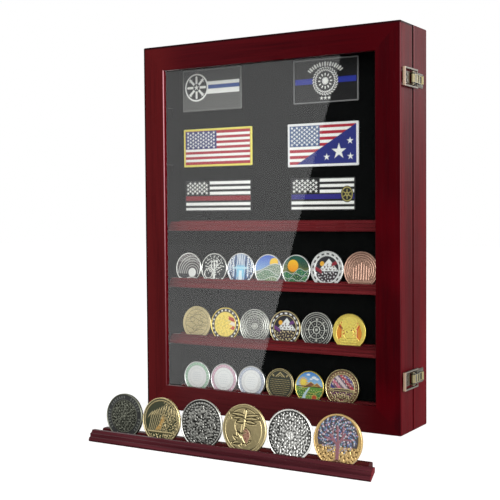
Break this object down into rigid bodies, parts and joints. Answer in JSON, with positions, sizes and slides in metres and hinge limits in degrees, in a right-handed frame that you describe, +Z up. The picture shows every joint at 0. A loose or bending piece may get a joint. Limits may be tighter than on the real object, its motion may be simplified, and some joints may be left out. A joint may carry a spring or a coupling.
{
  "type": "coin display case",
  "caption": "Glazed wooden display case with a hinged latched door, felt back, grooved coin shelves and a loose coin shelf in front.",
  "frame": {"origin": "middle of the case's base, on the surface it stands on", "axes": "+X to the right seen from the front, +Y from the glazed front into the case, +Z up"},
  "size_m": [0.3802, 0.2487, 0.432],
  "materials": {
    "mahogany": "satin lacquer over a dark red mahogany stain",
    "panel_board": "raw hardboard",
    "black_felt": "black felt",
    "glass": "clear float glass",
    "antique_bronze": "antique bronze plate, worn bright on the edges",
    "screw_bronze": "antique bronze plate",
    "steel": "zinc plate",
    "coin_upper": "silver plate with enamel",
    "coin_middle": "antique plate with enamel",
    "coin_lower": "pale enamel on silver plate",
    "coin_dark_nickel": "black nickel",
    "coin_antique_gold": "antique gold plate",
    "coin_antique_silver": "antique silver plate",
    "coin_gold": "polished gold plate with enamel",
    "patch_grey": "embroidered twill",
    "patch_black": "embroidered twill",
    "patch_red_white": "embroidered twill"
  },
  "bodies": {
    "case": {"case_left_side": "mahogany", "case_right_side": "mahogany", "case_top": "mahogany", "case_bottom": "mahogany", "back_panel": "panel_board", "back_panel_brads": "steel", "felt_board": "black_felt", "felt_linings": "black_felt", "shelf_1": "mahogany", "shelf_2": "mahogany", "shelf_3": "mahogany", "shelf_4": "mahogany", "coins_lower_row": "coin_lower", "coins_middle_row": "coin_middle", "coins_upper_row": "coin_upper", "patch_upper_left": "patch_grey", "patch_upper_right": "patch_black", "patch_middle_left": "patch_red_white", "patch_middle_right": "patch_red_white", "patch_lower_left": "patch_grey", "patch_lower_right": "patch_grey", "lower_hinge_case_leaf": "antique_bronze", "upper_hinge_case_leaf": "antique_bronze", "lower_hinge_pin": "antique_bronze", "upper_hinge_pin": "antique_bronze", "hinge_case_screws": "screw_bronze", "upper_latch_base": "antique_bronze", "lower_latch_base": "antique_bronze", "upper_latch_pin": "antique_bronze", "lower_latch_pin": "antique_bronze", "latch_base_screws": "screw_bronze", "left_hanger": "steel", "right_hanger": "steel", "hanger_screws": "steel"},
    "door": {"door_left_stile": "mahogany", "door_right_stile": "mahogany", "door_top_rail": "mahogany", "door_bottom_rail": "mahogany", "door_glass": "glass", "glass_beads": "mahogany", "lower_hinge_door_leaf": "antique_bronze", "upper_hinge_door_leaf": "antique_bronze", "hinge_door_screws": "screw_bronze", "upper_latch_hook": "antique_bronze", "lower_latch_hook": "antique_bronze", "latch_hook_screws": "screw_bronze"},
    "upper_lever": {"upper_latch_lever": "antique_bronze"},
    "upper_bail": {"upper_latch_bail": "antique_bronze"},
    "lower_lever": {"lower_latch_lever": "antique_bronze"},
    "lower_bail": {"lower_latch_bail": "antique_bronze"},
    "loose_shelf": {"loose_shelf": "mahogany", "loose_coin_1": "coin_dark_nickel", "loose_coin_2": "coin_antique_gold", "loose_coin_3": "coin_antique_silver", "loose_coin_4": "coin_antique_gold", "loose_coin_5": "coin_antique_silver", "loose_coin_6": "coin_gold"}
  },
  "joints": [
    {"name": "door_hinge", "type": "hinge", "parent": "case", "child": "door", "pos_m": [-0.16765, -0.0025, 0.216], "axis": [0, 0, -1], "range_deg": [0, 110]},
    {"name": "loose_shelf_slide", "type": "slide", "parent": "case", "child": "loose_shelf", "axis": [0, -1, 0], "range_m": [0, 0.25]},
    {"name": "upper_lever_pivot", "type": "hinge", "parent": "case", "child": "upper_lever", "pos_m": [0.1684, -0.011, 0.3745], "axis": [0, 0, -1], "range_deg": [0, 105]},
    {"name": "upper_bail_pivot", "type": "hinge", "parent": "upper_lever", "child": "upper_bail", "pos_m": [0.1682, 0.001, 0.3745], "axis": [0, 0, -1], "range_deg": [-120, 0]},
    {"name": "lower_lever_pivot", "type": "hinge", "parent": "case", "child": "lower_lever", "pos_m": [0.1684, -0.011, 0.0575], "axis": [0, 0, -1], "range_deg": [0, 105]},
    {"name": "lower_bail_pivot", "type": "hinge", "parent": "lower_lever", "child": "lower_bail", "pos_m": [0.1682, 0.001, 0.0575], "axis": [0, 0, -1], "range_deg": [-120, 0]}
  ],
  "couplings": [
    {"joint": "loose_shelf_slide", "follows": "door_hinge", "m_per_rad": 0.125},
    {"joint": "upper_bail_pivot", "follows": "upper_lever_pivot", "ratio": -1.14},
    {"joint": "lower_bail_pivot", "follows": "lower_lever_pivot", "ratio": -1.14}
  ]
}
